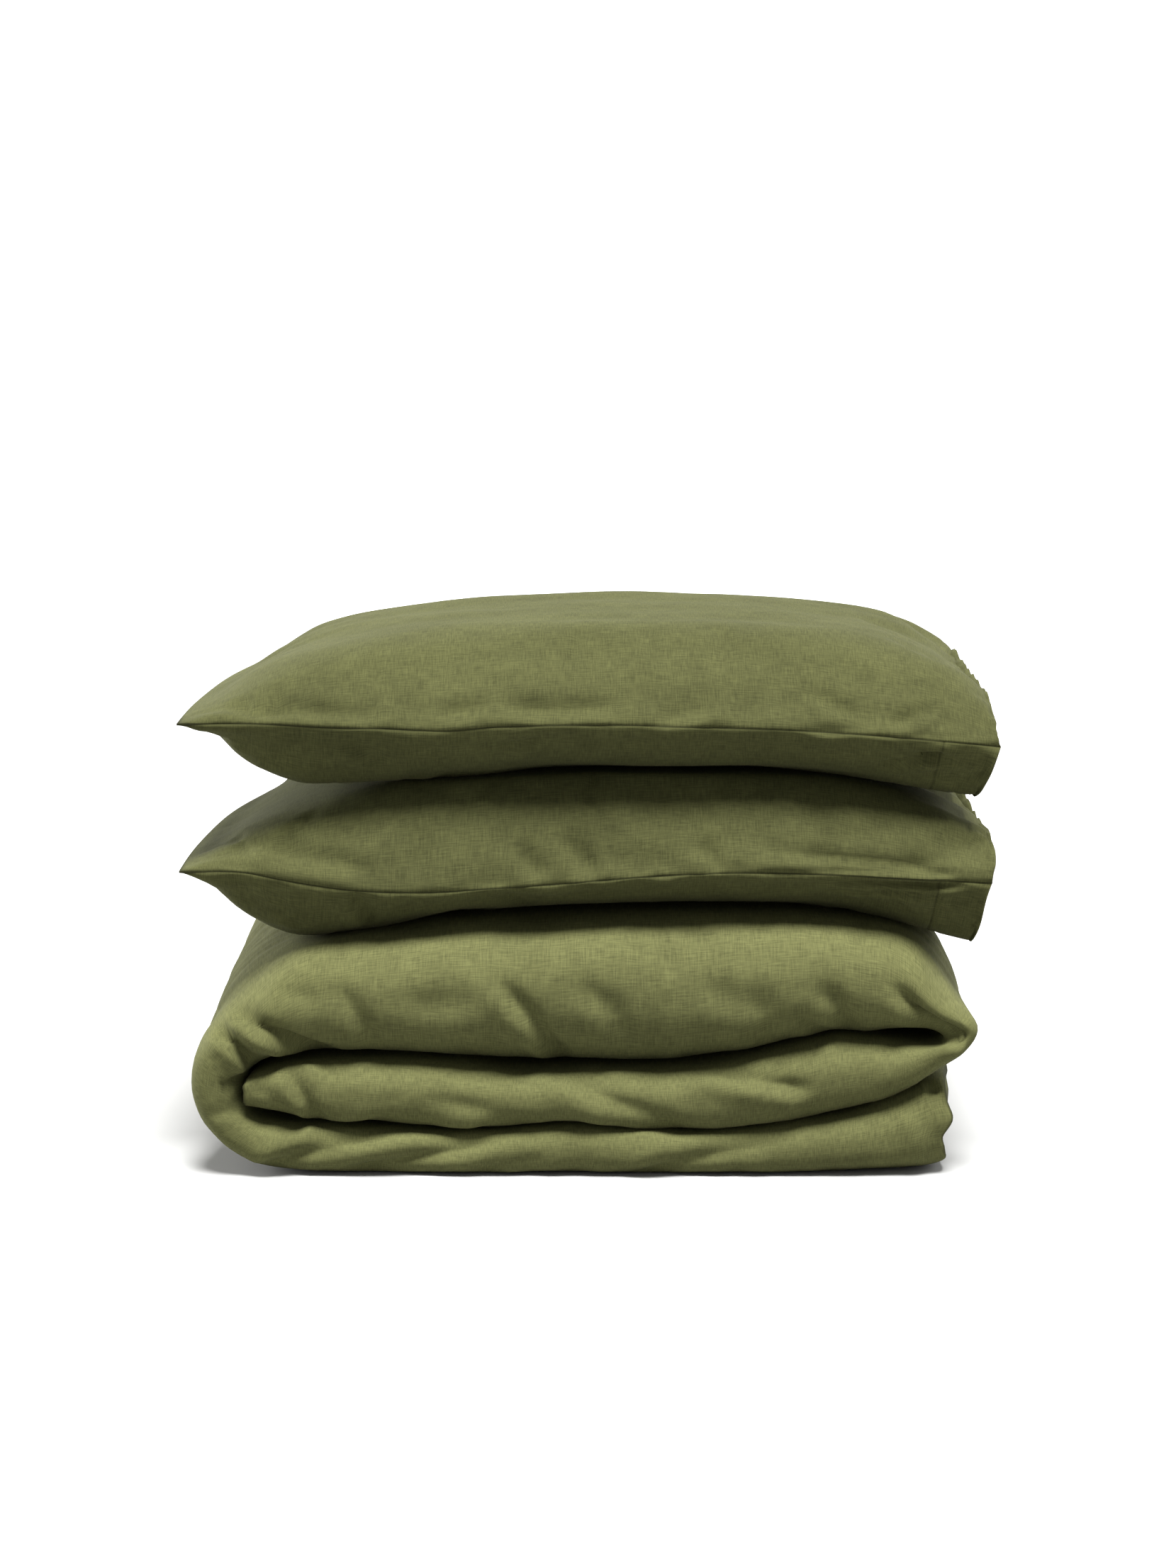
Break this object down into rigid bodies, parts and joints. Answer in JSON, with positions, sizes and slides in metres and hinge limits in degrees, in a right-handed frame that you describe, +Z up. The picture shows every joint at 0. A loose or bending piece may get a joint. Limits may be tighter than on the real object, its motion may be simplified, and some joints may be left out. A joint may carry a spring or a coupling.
{
  "type": "folded duvet with stacked pillows",
  "caption": "Folded duvet in a washed-linen cover, with matching cased pillows stacked on it. The pillows lift off.",
  "frame": {"origin": "middle of the stack's footprint, on the surface it stands on", "axes": "+X along the pillows, towards their open ends; +Y towards the back, where the duvet's free edges are; +Z up"},
  "size_m": [0.71, 0.4998, 0.4739],
  "materials": {
    "duvet_linen": "matt washed linen, olive green",
    "pillowcase_linen": "matt washed linen, olive green",
    "cotton_ticking": "matt closely woven cotton",
    "cotton_tape": "matt woven tape, olive green",
    "duvet_wadding": "matt fibre wadding",
    "pillow_filling": "matt fibre filling",
    "corozo_button": "satin turned nut, olive brown"
  },
  "bodies": {
    "duvet": {"duvet_cover_face": "duvet_linen", "duvet_cover_back": "duvet_linen", "insert_casing_face": "cotton_ticking", "insert_casing_back": "cotton_ticking", "insert_wadding": "duvet_wadding", "corner_tie_free_end_1": "cotton_tape", "corner_tie_free_end_2": "cotton_tape", "corner_tie_tucked_end_1": "cotton_tape", "corner_tie_tucked_end_2": "cotton_tape", "cover_button_1": "corozo_button", "cover_button_2": "corozo_button", "cover_button_3": "corozo_button", "cover_button_4": "corozo_button", "cover_button_5": "corozo_button", "cover_button_6": "corozo_button", "cover_button_7": "corozo_button"},
    "lower_pillow": {"lower_pillow_case_top": "pillowcase_linen", "lower_pillow_case_under": "pillowcase_linen", "lower_pillow_case_flap": "pillowcase_linen", "lower_pillow_ticking_top": "cotton_ticking", "lower_pillow_ticking_under": "cotton_ticking", "lower_pillow_filling": "pillow_filling"},
    "upper_pillow": {"upper_pillow_case_top": "pillowcase_linen", "upper_pillow_case_under": "pillowcase_linen", "upper_pillow_case_flap": "pillowcase_linen", "upper_pillow_ticking_top": "cotton_ticking", "upper_pillow_ticking_under": "cotton_ticking", "upper_pillow_filling": "pillow_filling"}
  },
  "joints": [
    {"name": "lower_pillow_lift", "type": "slide", "parent": "duvet", "child": "lower_pillow", "axis": [0, 0, 1], "range_m": [0, 0.3]},
    {"name": "upper_pillow_lift", "type": "slide", "parent": "lower_pillow", "child": "upper_pillow", "axis": [0, 0, 1], "range_m": [0, 0.25]}
  ]
}
